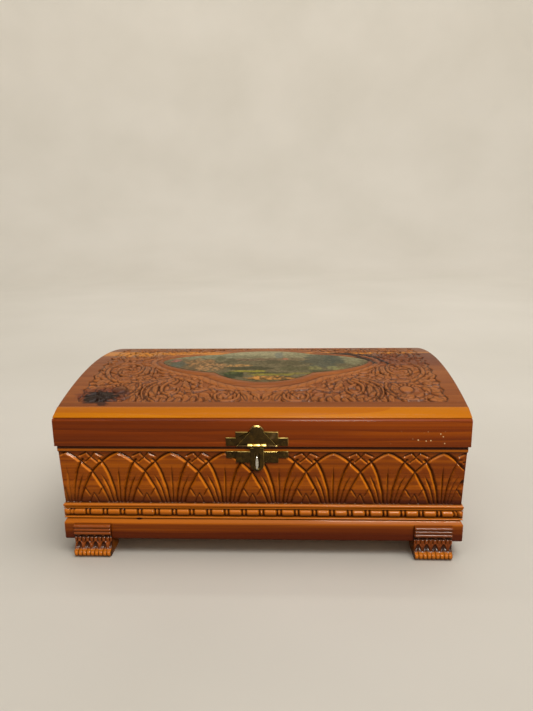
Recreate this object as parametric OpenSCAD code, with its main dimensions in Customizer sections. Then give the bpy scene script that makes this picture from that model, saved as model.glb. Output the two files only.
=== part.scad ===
// Carved cedar jewelry box with an arched lid, four scroll feet, a hasp clasp and two rear hinges.
// Origin: bottom centre of the feet. +X right, +Y to the back, +Z up. Millimetres.

/* [Box] */
// Width of the lid, left to right
lid_w = 292; // [250:1:340]
// Depth of the lid, front to back
lid_d = 208; // [180:1:240]
// How far the lid stands out past the body on each side
overhang = 1.4; // [1:0.1:2]
// Height of the four side boards of the body
body_h = 73.1; // [68:0.1:90]
// Thickness of the side boards and lid rails
wall = 11; // [10:0.5:13]
// Gap between the body's top edge and the closed lid
lid_gap = 0.4; // [0.3:0.1:0.8]
// Thickness of the bottom panel
bottom_t = 4.6; // [3:0.1:6]

/* [Lid] */
// Height of the lid rails
rail_h = 20.4; // [18:0.1:26]
// Rise of the arched panel above the rails at its crest
crest_rise = 15.5; // [14:0.1:20]
// Radius of the arch
arch_r = 400; // [360:5:460]
// Width of the plain strips along the front and back of the arched panel
strip_w = 10.4; // [8:0.1:14]
// Length of the inlaid picture from tip to tip
picture_l = 172; // [140:1:190]
// Depth of the inlaid picture at its middle
picture_d = 98; // [80:1:110]
// Half depth of the picture's pointed wings
wing_half = 32.5; // [26:0.5:36]
// Distance of the picture's middle in front of the lid's middle
picture_front = 2; // [0:0.5:4]

/* [Mouldings] */
// Height of the plain base of each moulded board
plinth_h = 16; // [13:0.1:18]
// Height of the middle of the bead row
bead_z = 21.25; // [20.5:0.05:23]
// Radius of the bead row
bead_r = 2.7; // [2.2:0.1:2.8]
// Height of the bottom of the carved field
field_z = 28.4; // [28:0.1:31]
// Height of the plain fillet along the top edge
top_fillet = 3.9; // [3:0.1:6]

/* [Feet] */
// Height of the feet under the body
foot_h = 11; // [9:0.1:16]
// Width of each foot
foot_w = 27; // [22:0.5:32]
// Distance from the end of the body to the foot
foot_inset = 7.7; // [4:0.1:12]
// How far each foot reaches back under the body
foot_back = 14.6; // [12:0.1:20]

/* [Clasp] */
// Sideways place of the clasp
clasp_x = -2; // [-4:0.5:4]
// Width of both clasp plates
clasp_w = 43.6; // [40:0.1:48]
// Thickness of the clasp's sheet brass
clasp_t = 0.8; // [0.6:0.1:1]
// Radius of the clasp's barrel
clasp_r = 1.4; // [1.3:0.1:1.6]
// Length of the hasp flap below its pin
flap_l = 19.3; // [18:0.1:20]

/* [Hinges] */
// Distance of each hinge from the middle of the back
hinge_x = 85; // [60:1:110]
// Length of each hinge
hinge_l = 26; // [22:1:32]
// Radius of the hinge barrels
hinge_r = 1.9; // [1.8:0.1:2.1]
// Height of each hinge leaf
leaf_h = 14; // [12:0.5:17]
// Thickness of each hinge leaf
leaf_t = 0.9; // [0.7:0.1:1]

/* [Mirror] */
// Length of the mirror inside the lid
mirror_l = 236; // [200:1:240]
// Depth of the mirror inside the lid
mirror_d = 156; // [130:1:160]
// Thickness of the mirror
mirror_t = 2; // [1.5:0.1:2.5]

/* [Hidden] */

eps = 0.02;
cut = 1;                            // overshoot of every cutting shape
body_w = lid_w - 2 * overhang;
body_d = lid_d - 2 * overhang;
body_top = foot_h + body_h;
lid_z = body_top + lid_gap;         // underside of the closed lid
panel_z = lid_z + rail_h;           // underside of the arched panel
crest_z = panel_z + crest_rise;
rail_round = 2;                     // rounding of the lid's top front edge
panel_edge = 0.7;                   // height of the strip's thin outer edge
panel_half = lid_d / 2 - 1.8;       // middle of the lid to the strip's thin edge
strip_y = panel_half - strip_w;     // middle of the lid to the joint of strip and panel
rabbet = 5;                         // width of the ledge that takes the bottom panel
rabbet_h = bottom_t + 0.4;          // height of that ledge

// depth of each step of the moulded board behind its plinth face
chamfer_d = 1.5;
chamfer_h = 3.2;
groove_d = 2.2;
fillet_d = 0.4;
field_low_d = 1.8;
field_high_d = 0.5;
plinth_round = 1.5;
bead_front = 0.1;

// foot, seen from its side: y outward from the plinth face, z up from the floor
flange_t = 4;
flange_h = 13;
reed_r = 1.3;
cove_r = 8.2;
cove_y = 10.2;
toe_r = 2.4;
toe_y = 4.5;
toe_z = 2.9;

nail_r = 0.6;
nail_hole_r = nail_r + 0.02;
nail_head_t = 0.5;
nail_l = 7;
brad_l = 9.5;
brad_head_r = 1.2;

// clasp, seen from the front: heights above the pin's axis
clasp_y = -lid_d / 2 - clasp_r - 0.1;
clasp_z = lid_z + clasp_r;
clasp_head_r = 1.1;
clasp_nail_x = clasp_w / 2 - 3;
clasp_pin_r = 0.6;
clasp_bore_r = clasp_pin_r + 0.04;
clasp_barrel = 13.4;
clasp_mid = 5.2;                    // length of the middle knuckle
clasp_slit = 0.15;                  // gap between knuckles
step_half = 14.9;                   // half width of the plates' upper step
dome_r = 5.2;
relief_t = 0.5;
relief_half = 14.4;
lid_plate_h = [-0.6, 5.6, 9.9, 14.7];       // foot, first step, second step, top of the dome
catch_plate_h = [-5.1, -10, -13.6, -18.4];  // the same, downward
flap_w = 9.5;
slot_w = 3.4;
slot_top = -5;
slot_bottom = -17.6;
hook_w = 2.2;
hook_t = 0.9;
hook_root = -8;
hook_tip = -16.9;
hook_out = 2.4;                     // how far the hook stands in front of the pin's axis

// hinges: the axis lies just behind the lid's back face, level with the lid gap
hinge_y = lid_d / 2 + hinge_r + 0.1;
hinge_z = body_top + lid_gap / 2;
hinge_pin_r = 0.8;
hinge_bore_r = hinge_pin_r + 0.05;
knuckles = 5;
knuckle_slit = 0.2;
knuckle_clear = 0.25;
hinge_head_r = 1.4;
hinge_nails = [[-8.5, 10.5], [0, 5.5], [8.5, 10.5]];   // sideways, and away from the axis

mirror_strip_w = 8;
mirror_strip_h = 4.5;
mirror_lap = 2;

wood_red = "#8a4218";
wood_orange = "#b4601f";
wood_pale = "#c8782a";
brass_dark = "#4a3f1e";
brass = "#a8873c";
steel = "#c9c9c4";
glass = "#c7d6d8";
print_green = "#6f7a52";

// ---- helpers ----

// turns a shape made for the front to another side of the box
module to_side(side, w, d) {
  turns = side == "front" ? 0 : side == "right" ? 90 : side == "back" ? 180 : 270;
  reach = side == "front" || side == "back" ? d / 2 : w / 2;
  rotate([0, 0, turns]) translate([0, -reach, 0]) children();
}

// runs a (depth, height) outline along X with 45 degree mitres at both ends
module mitred_run(length, depth) {
  intersection() {
    rotate([90, 0, 90]) linear_extrude(length, center = true) children();
    translate([0, 0, -200]) linear_extrude(600)
      polygon([[-length / 2 - cut, -cut], [length / 2 + cut, -cut],
               [length / 2 - depth - cut, depth + cut], [-length / 2 + depth + cut, depth + cut]]);
  }
}

module axle(r, from, to) {
  translate([from, 0, 0]) rotate([0, 90, 0]) cylinder(r = r, h = to - from, $fn = 48);
}

// start and end of knuckle n along a barrel of the given length
function knuckle(n, length, count, slit) =
  [-length / 2 + n * length / count + (n == 0 ? 0 : slit / 2),
   -length / 2 + (n + 1) * length / count - (n == count - 1 ? 0 : slit / 2)];

// a nail driven along +Y from a sheet face at y = 0, head in front of it
module nail(length, head_r) {
  rotate([-90, 0, 0]) cylinder(r = nail_r, h = length, $fn = 24);
  translate([0, -nail_head_t, 0]) rotate([-90, 0, 0]) cylinder(r = head_r, h = nail_head_t, $fn = 32);
}

module nail_hole(length) {
  translate([0, -cut, 0]) rotate([-90, 0, 0]) cylinder(r = nail_hole_r, h = length + cut, $fn = 24);
}

// ---- body ----

// points along an arc about (x, y), between two angles
function arc(x, y, r, from, to, steps = 10) =
  [for (i = [0 : steps]) let (a = from + (to - from) * i / steps) [x + r * cos(a), y + r * sin(a)]];

module moulded_outline() {
  top = body_h - top_fillet;
  bead_drop = groove_d - bead_front;
  bead_end = acos((bead_r - bead_drop) / bead_r);
  difference() {
    polygon(concat(
      arc(plinth_round, plinth_round, plinth_round, 270, 180),
      [[0, plinth_h - chamfer_h], [chamfer_d, plinth_h], [groove_d, plinth_h + 0.3],
       [fillet_d, plinth_h + 0.7], [fillet_d, plinth_h + 1.8], [groove_d, plinth_h + 2.1]],
      arc(bead_r + bead_front, bead_z, bead_r, 180 + bead_end, 180 - bead_end),
      [[groove_d, field_z - 4.2], [fillet_d, field_z - 4], [fillet_d, field_z - 2.8],
       [groove_d, field_z - 2.6], [fillet_d, field_z - 2.2], [fillet_d, field_z - 0.6],
       [field_low_d, field_z], [field_high_d, top], [0, top + 0.5], [0, body_h], [wall, body_h], [wall, 0]]));
    translate([wall - rabbet, -cut]) square([rabbet + cut, rabbet_h + cut]);
  }
}

module plain_outline() {
  difference() {
    square([wall, body_h]);
    translate([wall - rabbet, -cut]) square([rabbet + cut, rabbet_h + cut]);
  }
}

brad_inset = wall - rabbet / 2;     // body face to the line of brads
brad_step = 62;
brads_long = [for (i = [-2 : 2]) for (s = [-1, 1]) [i * brad_step, s * (body_d / 2 - brad_inset)]];
brads_short = [for (i = [-1 : 1]) for (s = [-1, 1]) [s * (body_w / 2 - brad_inset), i * brad_step]];
brads = concat(brads_long, brads_short);
panel_low = foot_h + 0.4;           // underside of the bottom panel

module brad_holes() {
  for (p = brads)
    translate([p[0], p[1], panel_low - cut]) cylinder(r = nail_hole_r, h = brad_l + cut + eps, $fn = 24);
}

module body_front() {
  color(wood_orange) difference() {
    to_side("front", body_w, body_d) translate([0, 0, foot_h]) mitred_run(body_w, wall) moulded_outline();
    brad_holes();
    for (s = [-1, 1])
      translate([clasp_x + s * clasp_nail_x, -body_d / 2, clasp_z + catch_nail_z]) nail_hole(nail_l);
  }
}

module body_back() {
  color(wood_orange) difference() {
    to_side("back", body_w, body_d) translate([0, 0, foot_h]) mitred_run(body_w, wall) plain_outline();
    brad_holes();
    for (s = [-1, 1]) for (n = hinge_nails)
      translate([s * hinge_x + n[0], body_d / 2, hinge_z - n[1]]) rotate([0, 0, 180]) nail_hole(nail_l);
  }
}

module body_end(side) {
  color(wood_orange) difference() {
    to_side(side, body_w, body_d) translate([0, 0, foot_h]) mitred_run(body_d, wall) moulded_outline();
    brad_holes();
  }
}

module bottom_panel() {
  size = [body_w - 2 * (wall - rabbet), body_d - 2 * (wall - rabbet)];
  color(wood_pale) difference() {
    translate([-size[0] / 2, -size[1] / 2, panel_low]) cube([size[0], size[1], bottom_t]);
    brad_holes();
    for (p = brads) translate([p[0], p[1], panel_low - cut])
      cylinder(r = brad_head_r + eps, h = cut + nail_head_t, $fn = 32);
  }
}

module bottom_brads() {
  color(steel) for (p = brads) translate([p[0], p[1], panel_low]) {
    cylinder(r = brad_head_r, h = nail_head_t, $fn = 32);
    cylinder(r = nail_r, h = brad_l, $fn = 24);
  }
}

// ---- feet ----

// y outward from the plinth face, z up from the floor
module foot_outline() {
  reed_z = foot_h + flange_h - reed_r;
  difference() {
    polygon([[-foot_back, 0], [toe_y, 0], [toe_y + toe_r, toe_z], [toe_y + toe_r, toe_z + 2.4],
             [flange_t, foot_h + 4.6], [flange_t - reed_r, foot_h + flange_h], [0, foot_h + flange_h],
             [0, foot_h], [-foot_back, foot_h]]);
    translate([cove_y, foot_h]) circle(r = cove_r, $fn = 96);
  }
  translate([toe_y, toe_z]) intersection() {
    circle(r = toe_r, $fn = 48);
    translate([-toe_r, -toe_z]) square(2 * toe_r + toe_z);
  }
  for (i = [0 : 2]) translate([flange_t - reed_r, reed_z - i * 2 * reed_r]) circle(r = reed_r, $fn = 32);
}

module foot(side, across) {
  x = body_w / 2 - foot_inset - foot_w / 2;
  color(wood_red) to_side(side, body_w, body_d)
    translate([across * x, 0, 0]) rotate([90, 0, -90]) linear_extrude(foot_w, center = true) foot_outline();
}

// ---- lid ----

module rail_outline() {
  square([wall, rail_h - rail_round]);
  translate([rail_round, 0]) square([wall - rail_round, rail_h]);
  translate([rail_round, rail_h - rail_round]) circle(r = rail_round, $fn = 48);
}

module lid_rail(side) {
  long = side == "front" || side == "back";
  color(wood_red) difference() {
    to_side(side, lid_w, lid_d) translate([0, 0, lid_z])
      mitred_run(long ? lid_w : lid_d, wall) if (long) rail_outline(); else square([wall, rail_h]);
    if (side == "front") for (s = [-1, 1])
      translate([clasp_x + s * clasp_nail_x, -lid_d / 2, clasp_z + lid_nail_z]) nail_hole(nail_l);
    if (side == "back") for (s = [-1, 1]) for (n = hinge_nails)
      translate([s * hinge_x + n[0], lid_d / 2, hinge_z + n[1]]) rotate([0, 0, 180]) nail_hole(nail_l);
  }
}

// a cylinder along X whose top is the arch, lowered by the given depth
module arch_cylinder(depth) {
  translate([0, 0, crest_z - arch_r]) rotate([0, 90, 0])
    cylinder(r = arch_r - depth, h = lid_w + 2 * cut, center = true, $fn = 360);
}

// half depth of the picture at x: a round middle between two pointed wings
function picture_half(x) = let (r = picture_d / 2, wing = wing_half * sqrt(1 - pow(x / (picture_l / 2), 2)))
  abs(x) < r ? max(wing, sqrt(r * r - x * x)) : wing;
picture_steps = 28;
picture_points = concat(
  [for (i = [-picture_steps : picture_steps - 1]) let (x = sin(90 * i / picture_steps) * picture_l / 2)
    [x, -picture_half(x)]],
  [for (i = [picture_steps : -1 : 1 - picture_steps]) let (x = sin(90 * i / picture_steps) * picture_l / 2)
    [x, picture_half(x)]]);
picture_recess = 0.8;
picture_t = 0.4;

module picture_prism() {
  translate([0, -picture_front, panel_z]) linear_extrude(2 * crest_rise) polygon(picture_points);
}

module lid_panel() {
  color(wood_red) difference() {
    intersection() {
      translate([-lid_w / 2, -strip_y, panel_z]) cube([lid_w, 2 * strip_y, 2 * crest_rise]);
      arch_cylinder(0);
    }
    difference() {
      picture_prism();
      arch_cylinder(picture_recess);
    }
  }
}

// the sapwood strip glued along the panel's edge
module lid_strip(side) {
  arch_drop = arch_r - sqrt(arch_r * arch_r - strip_y * strip_y);
  color(wood_pale) to_side(side, 0, 0) rotate([90, 0, 90]) linear_extrude(lid_w, center = true)
    polygon([[-panel_half, panel_z], [-strip_y, panel_z], [-strip_y, crest_z - arch_drop],
             [-panel_half, panel_z + panel_edge]]);
}

module picture_print() {
  color(print_green) difference() {
    intersection() {
      picture_prism();
      arch_cylinder(picture_recess - picture_t);
    }
    arch_cylinder(picture_recess);
  }
}

// ---- mirror ----

module mirror() {
  color(glass) translate([-mirror_l / 2, -mirror_d / 2, panel_z - mirror_t])
    cube([mirror_l, mirror_d, mirror_t]);
}

mirror_frame_l = mirror_l + 2 * (mirror_strip_w - mirror_lap);
mirror_frame_d = mirror_d + 2 * (mirror_strip_w - mirror_lap);

module mirror_strip(side) {
  long = side == "front" || side == "back";
  color(wood_pale) to_side(side, mirror_frame_l, mirror_frame_d)
    translate([0, 0, panel_z - mirror_strip_h])
    mitred_run(long ? mirror_frame_l : mirror_frame_d, mirror_strip_w) {
      square([mirror_strip_w, mirror_strip_h - mirror_t]);
      square([mirror_strip_w - mirror_lap, mirror_strip_h]);
    }
}

// ---- clasp ----
// made around the pin's axis: x sideways, y towards the box, z up

lid_nail_z = (lid_plate_h[0] + lid_plate_h[1]) / 2;
catch_nail_z = (catch_plate_h[0] + catch_plate_h[1]) / 2;
mid_knuckle = [-clasp_mid / 2, clasp_mid / 2];
outer_knuckles = [[-clasp_barrel / 2, -clasp_mid / 2 - clasp_slit],
                  [clasp_mid / 2 + clasp_slit, clasp_barrel / 2]];

module at_clasp() {
  translate([clasp_x, clasp_y, clasp_z]) children();
}

// a stepped plate outline: h lists its foot, first step, second step and dome top
module stepped_plate(h) {
  up = sign(h[1] - h[0]);
  translate([-clasp_w / 2, min(h[0], h[1])]) square([clasp_w, abs(h[1] - h[0])]);
  translate([-step_half, min(h[0], h[2])]) square([2 * step_half, abs(h[2] - h[0])]);
  translate([0, h[3] - up * dome_r]) circle(r = dome_r, $fn = 64);
}

// the raised part of a plate: a wedge that narrows to the dome
module plate_relief(h) {
  up = sign(h[1] - h[0]);
  wedge_half = 4.7;
  polygon([[-relief_half, h[0]], [relief_half, h[0]], [wedge_half, h[2]], [-wedge_half, h[2]]]);
  translate([0, h[3] - up * dome_r]) circle(r = dome_r - 0.4, $fn = 64);
}

// lays an outline flat against the box: its back at y, growing forward by t
module sheet(y, t) {
  translate([0, y, 0]) rotate([90, 0, 0]) linear_extrude(t) children();
}

module clasp_lid_plate() {
  face = -lid_d / 2 - clasp_y;
  color(brass_dark) at_clasp() difference() {
    union() {
      sheet(face, clasp_t) stepped_plate(lid_plate_h);
      sheet(face, clasp_t + relief_t) plate_relief(lid_plate_h);
      for (k = outer_knuckles) axle(clasp_r, k[0], k[1]);
    }
    axle(clasp_bore_r, -clasp_w, clasp_w);
    axle(clasp_r + clasp_slit, mid_knuckle[0] - clasp_slit, mid_knuckle[1] + clasp_slit);
    for (s = [-1, 1]) translate([s * clasp_nail_x, face - clasp_t, lid_nail_z]) nail_hole(nail_l);
  }
}

module clasp_pin() {
  color(brass) at_clasp() axle(clasp_pin_r, -clasp_barrel / 2 + 0.2, clasp_barrel / 2 - 0.2);
}

flap_y = 1.2;                       // back of the flap's tongue

module flap_outline() {
  round_r = flap_w / 2;
  difference() {
    union() {
      translate([-clasp_mid / 2, -clasp_r - 1]) square([clasp_mid, clasp_r + 1]);
      translate([-flap_w / 2, -flap_l + round_r]) square([flap_w, flap_l - round_r - clasp_r - 0.4]);
      translate([0, -flap_l + round_r]) circle(r = round_r, $fn = 64);
    }
    translate([-slot_w / 2, slot_bottom + slot_w / 2])
      square([slot_w, slot_top - slot_bottom - slot_w]);
    for (z = [slot_top - slot_w / 2, slot_bottom + slot_w / 2])
      translate([0, z]) circle(r = slot_w / 2, $fn = 32);
  }
}

module hasp_flap() {
  color(brass_dark) at_clasp() difference() {
    union() {
      sheet(flap_y, clasp_t) flap_outline();
      axle(clasp_r, mid_knuckle[0], mid_knuckle[1]);
    }
    axle(clasp_bore_r, -clasp_w, clasp_w);
  }
}

module catch_plate() {
  face = -body_d / 2 - clasp_y;
  color(brass_dark) at_clasp() difference() {
    union() {
      sheet(face, clasp_t) stepped_plate(catch_plate_h);
      sheet(face, clasp_t + relief_t) plate_relief(catch_plate_h);
    }
    for (s = [-1, 1]) translate([s * clasp_nail_x, face - clasp_t, catch_nail_z]) nail_hole(nail_l);
  }
}

// a flat steel tongue that comes out through the flap's slot and turns down
module catch_hook() {
  back = -body_d / 2 - clasp_y - clasp_t - relief_t;
  color(steel) at_clasp() rotate([90, 0, 90]) linear_extrude(hook_w, center = true) {
    translate([-hook_out, hook_root]) square([back + hook_out, hook_t]);
    translate([-hook_out, hook_tip]) square([hook_t, hook_root - hook_tip + hook_t]);
  }
}

module clasp_nails(face, z) {
  color(brass) at_clasp() for (s = [-1, 1])
    translate([s * clasp_nail_x, face - clasp_y - clasp_t, z]) nail(nail_l, clasp_head_r);
}

// ---- hinges ----
// made around the pin's axis at the back: x along it, y away from the box, z up

module at_hinge(side) {
  translate([side * hinge_x, hinge_y, hinge_z]) children();
}

// up is 1 for the leaf on the lid and -1 for the leaf on the body; own lists its knuckles
module leaf(face, up, own, other) {
  difference() {
    union() {
      translate([-hinge_l / 2, face, up > 0 ? 1 : -leaf_h - 1]) cube([hinge_l, leaf_t, leaf_h]);
      translate([-hinge_l / 2, face, up > 0 ? hinge_r - leaf_t : -hinge_r]) cube([hinge_l, -face, leaf_t]);
      for (n = own) let (k = knuckle(n, hinge_l, knuckles, knuckle_slit)) axle(hinge_r, k[0], k[1]);
    }
    for (n = other) let (k = knuckle(n, hinge_l, knuckles, knuckle_slit))
      axle(hinge_r + knuckle_clear, k[0] - (n == 0 ? cut : knuckle_slit),
           k[1] + (n == knuckles - 1 ? cut : knuckle_slit));
    axle(hinge_bore_r, -hinge_l, hinge_l);
    for (n = hinge_nails)
      translate([n[0], face + leaf_t, up * n[1]]) rotate([0, 0, 180]) nail_hole(nail_l);
  }
}

module hinge_lid_leaf(side) {
  color(brass) at_hinge(side) leaf(lid_d / 2 - hinge_y, 1, [1, 3], [0, 2, 4]);
}

module hinge_body_leaf(side) {
  color(brass) at_hinge(side) leaf(body_d / 2 - hinge_y, -1, [0, 2, 4], [1, 3]);
}

module hinge_pin(side) {
  head = 0.5;
  color(brass) at_hinge(side) {
    axle(hinge_pin_r, -hinge_l / 2 - head, hinge_l / 2 + head);
    for (s = [-1, 1]) translate([s * (hinge_l / 2 + head + 0.1), 0, 0]) axle(1.2, -head / 2, head / 2);
  }
}

module hinge_nails(face, up) {
  color(brass) for (s = [-1, 1]) for (n = hinge_nails)
    translate([s * hinge_x + n[0], face + leaf_t, hinge_z + up * n[1]]) rotate([0, 0, 180])
      nail(nail_l, hinge_head_r);
}

// ---- nodes ----

body_front();
body_back();
body_end("left");  // body_left_end
body_end("right");  // body_right_end
bottom_panel();
bottom_brads();
foot("front", -1);  // foot_front_left
foot("front", 1);  // foot_front_right
foot("back", 1);  // foot_back_left
foot("back", -1);  // foot_back_right
lid_rail("front");  // lid_front_rail
lid_rail("back");  // lid_back_rail
lid_rail("left");  // lid_left_rail
lid_rail("right");  // lid_right_rail
lid_panel();
lid_strip("front");  // lid_front_strip
lid_strip("back");  // lid_back_strip
picture_print();
mirror();
mirror_strip("front");  // mirror_strip_front
mirror_strip("back");  // mirror_strip_back
mirror_strip("left");  // mirror_strip_left
mirror_strip("right");  // mirror_strip_right
clasp_lid_plate();
clasp_pin();
hasp_flap();
catch_plate();
catch_hook();
clasp_nails(-lid_d / 2, lid_nail_z);  // clasp_nails_lid
clasp_nails(-body_d / 2, catch_nail_z);  // clasp_nails_body
hinge_lid_leaf(-1);  // hinge_left_lid_leaf
hinge_body_leaf(-1);  // hinge_left_body_leaf
hinge_pin(-1);  // hinge_left_pin
hinge_lid_leaf(1);  // hinge_right_lid_leaf
hinge_body_leaf(1);  // hinge_right_body_leaf
hinge_pin(1);  // hinge_right_pin
hinge_nails(lid_d / 2, 1);  // hinge_nails_lid
hinge_nails(body_d / 2, -1);  // hinge_nails_body
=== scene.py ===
"""The looks of a carved cedar jewelry box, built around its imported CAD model.

Lengths are millimetres in the CAD frame (+X right, +Y back, +Z up, origin on the floor under the
middle of the box) and become metres when a mesh is made. Only the stage, the lamps, the camera,
the pith lines and the scales of noise are given in metres.
"""

import math

import bmesh
import bpy
import numpy as np
from mathutils import Matrix, Vector


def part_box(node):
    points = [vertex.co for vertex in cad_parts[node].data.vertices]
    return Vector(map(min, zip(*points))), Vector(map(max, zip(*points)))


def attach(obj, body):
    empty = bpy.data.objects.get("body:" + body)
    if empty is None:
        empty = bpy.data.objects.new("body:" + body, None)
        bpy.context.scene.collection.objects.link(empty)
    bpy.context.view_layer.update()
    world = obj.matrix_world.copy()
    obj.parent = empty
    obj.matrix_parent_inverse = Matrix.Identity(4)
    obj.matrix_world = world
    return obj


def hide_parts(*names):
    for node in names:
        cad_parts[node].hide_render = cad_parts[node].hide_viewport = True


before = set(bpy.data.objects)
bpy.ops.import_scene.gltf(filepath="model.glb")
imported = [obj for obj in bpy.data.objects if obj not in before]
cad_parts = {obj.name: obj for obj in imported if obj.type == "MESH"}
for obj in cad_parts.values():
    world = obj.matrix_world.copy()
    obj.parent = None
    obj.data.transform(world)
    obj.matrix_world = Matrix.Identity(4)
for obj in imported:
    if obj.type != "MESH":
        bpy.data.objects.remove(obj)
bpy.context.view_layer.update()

MM = 0.001


def node_box(node):
    """Lowest and highest corners of a CAD node, in millimetres."""
    low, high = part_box(node)
    return np.array(low) / MM, np.array(high) / MM


# ---------------- sizes

BODY_LOW, BODY_HIGH = node_box("body_front")
PANEL_LOW, PANEL_HIGH = node_box("lid_panel")
END_LOW, END_HIGH = node_box("body_left_end")

BODY_W, WALL, BODY_H = BODY_HIGH - BODY_LOW
BODY_D = END_HIGH[1] - END_LOW[1]
FLOOR_TO_BODY = BODY_LOW[2]

# the side boards' moulding, over their lower edge and behind their face
PLINTH_H = 16.0
CHAMFER_H = 2.7
GROOVE_D = 2.2
FIELD_Z = 28.4            # the carved field
FIELD_TOP = BODY_H - 4.4
BEAD_Z = 21.25            # the bead row's middle, and its beads
BEAD_R = 2.7
BEAD_FRONT = 0.1          # how far the beads stay behind the face
EDGE_ROUND = 1.5
RABBET = 5.0              # the ledge for the bottom, inside the lower edge

ARCH_R = 400.0
CREST_Z = PANEL_HIGH[2]

# the picture and the two borders around it: round middle radius, wing length, wing half depth
PICTURE = (49.3, 86.5, 34.0)
BAND = (60.0, 92.0, 46.0)
ROPE = (67.0, 97.0, 52.0)
PICTURE_MID_Y = -2.0
PICTURE_SINK = 0.4


# ---------------- number helpers

def smooth(low, high, value):
    """0 below low, 1 above high, with a smooth step between."""
    t = unit((value - low) / (high - low))
    return t * t * (3.0 - 2.0 * t)


def unit(value):
    """A value held between 0 and 1."""
    return np.clip(value, 0, 1)


def between(value, start, low, high, end):
    """1 from low to high, with smooth steps from start and to end."""
    return smooth(start, low, value) * smooth(end, high, value)


def dome(value):
    """A round bump, 1 high at 0 and down to 0 at 1."""
    return np.sqrt(unit(1 - value ** 2))


def ridge(value, half):
    """A straight-sided bump, 1 high at 0 and down to 0 at half."""
    return unit(1 - np.abs(value) / half)


def value_noise(x, y, seed):
    """Smooth noise from 0 to 1 with one bump per unit."""
    table = np.random.default_rng(seed).random((64, 64))
    xi, yi = np.floor(x).astype(int), np.floor(y).astype(int)
    fx, fy = x - xi, y - yi
    fx, fy = fx * fx * (3 - 2 * fx), fy * fy * (3 - 2 * fy)
    a, b = table[xi % 64, yi % 64], table[(xi + 1) % 64, yi % 64]
    c, d = table[xi % 64, (yi + 1) % 64], table[(xi + 1) % 64, (yi + 1) % 64]
    return (a * (1 - fx) + b * fx) * (1 - fy) + (c * (1 - fx) + d * fx) * fy


def cloud(x, y, seed, octaves):
    """Layered noise from 0 to 1."""
    total, weight, size = 0.0, 0.0, 1.0
    for i in range(octaves):
        total = total + size * value_noise(x * 2 ** i, y * 2 ** i, seed + i)
        weight += size
        size *= 0.55
    return total / weight


def through(points, steps=8):
    """A smooth curve through a few points, as a denser list."""
    p = np.array(points, float)
    padded = np.vstack([2 * p[0] - p[1], p, 2 * p[-1] - p[-2]])
    out = []
    for i in range(1, len(padded) - 2):
        a, b, c, d = padded[i - 1], padded[i], padded[i + 1], padded[i + 2]
        for t in np.linspace(0, 1, steps, endpoint=False):
            bend, twist = 2 * a - 5 * b + 4 * c - d, 3 * b - a - 3 * c + d
            out.append(0.5 * (2 * b + (c - a) * t + bend * t ** 2 + twist * t ** 3))
    out.append(padded[-2])
    return np.array(out)


def along(x, y, points):
    """Distance of each (x, y) from a polyline, length along it, side (+1 is left) and whole length."""
    p = np.asarray(points, float)
    best = np.full(np.shape(x), 1e9)
    length = np.zeros(np.shape(x))
    side = np.ones(np.shape(x))
    run = 0.0
    for (x0, y0), (x1, y1) in zip(p[:-1], p[1:]):
        dx, dy = x1 - x0, y1 - y0
        span = math.hypot(dx, dy) + 1e-9
        t = unit(((x - x0) * dx + (y - y0) * dy) / span ** 2)
        ox, oy = x - x0 - t * dx, y - y0 - t * dy
        d = np.hypot(ox, oy)
        closer = d < best
        best = np.where(closer, d, best)
        length = np.where(closer, run + t * span, length)
        side = np.where(closer, np.sign(dx * oy - dy * ox), side)
        run += span
    return best, length, np.where(side == 0, 1.0, side), run


# ---------------- mesh helpers

def new_object(name, data):
    obj = bpy.data.objects.new(name, data)
    bpy.context.scene.collection.objects.link(obj)
    return obj


def shaded(name, mesh, sharp):
    """An object for a mesh, shaded smooth except over edges sharper than an angle in degrees."""
    for face in mesh.polygons:
        face.use_smooth = True
    mesh.set_sharp_from_angle(angle=math.radians(sharp))
    return new_object(name, mesh)


def make_object(name, verts, faces, sharp):
    """An object from millimetre points and faces."""
    mesh = bpy.data.meshes.new(name)
    mesh.from_pydata((verts * MM).tolist(), [], faces)
    mesh.validate()
    mesh.update()
    return shaded(name, mesh, sharp)


def ring_faces(count, size):
    """Faces of a closed solid of count rings with size points each: quads between, a cap at each end."""
    i, j = np.meshgrid(np.arange(count - 1), np.arange(size), indexing="ij")
    k = (j + 1) % size
    quads = np.stack([i * size + j, i * size + k, (i + 1) * size + k, (i + 1) * size + j], -1)
    faces = quads.reshape(-1, 4).tolist()
    faces.append(list(range(size - 1, -1, -1)))
    faces.append(list(range((count - 1) * size, count * size)))
    return faces


def closed(grid, *values):
    """Adds the same few points at the end of every ring."""
    return np.hstack([grid, np.tile(np.array(values, float), (len(grid), 1))])


def loft(name, x, y, z, sharp, flip=False, **marks):
    """A solid through rings of points (ring, point). Marks are point attributes, 0 where they run out."""
    x, y, z = np.broadcast_arrays(x, y, z)
    faces = ring_faces(*x.shape)
    if flip:
        faces = [face[::-1] for face in faces]
    obj = make_object(name, np.stack([x, y, z], -1).reshape(-1, 3), faces, sharp)
    for key, values in marks.items():
        values = closed(values, *[0] * (x.shape[1] - values.shape[1]))
        layer = obj.data.attributes.new(key, "FLOAT", "POINT")
        layer.data.foreach_set("value", values.astype(np.float32).ravel())
    return obj


def raw_beyond(obj, carved, rings):
    """Gives material 1 to a loft's faces beyond each ring's first, carved points."""
    count, size = rings
    for face in obj.data.polygons[: (count - 1) * size]:
        face.material_index = int(face.index % size >= carved - 1)
    return obj


def normals(line):
    """Unit normals to the left of a flat polyline."""
    slope = np.gradient(line, axis=0)
    return np.stack([-slope[:, 1], slope[:, 0]], 1) / np.hypot(*slope.T)[:, None]


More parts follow.
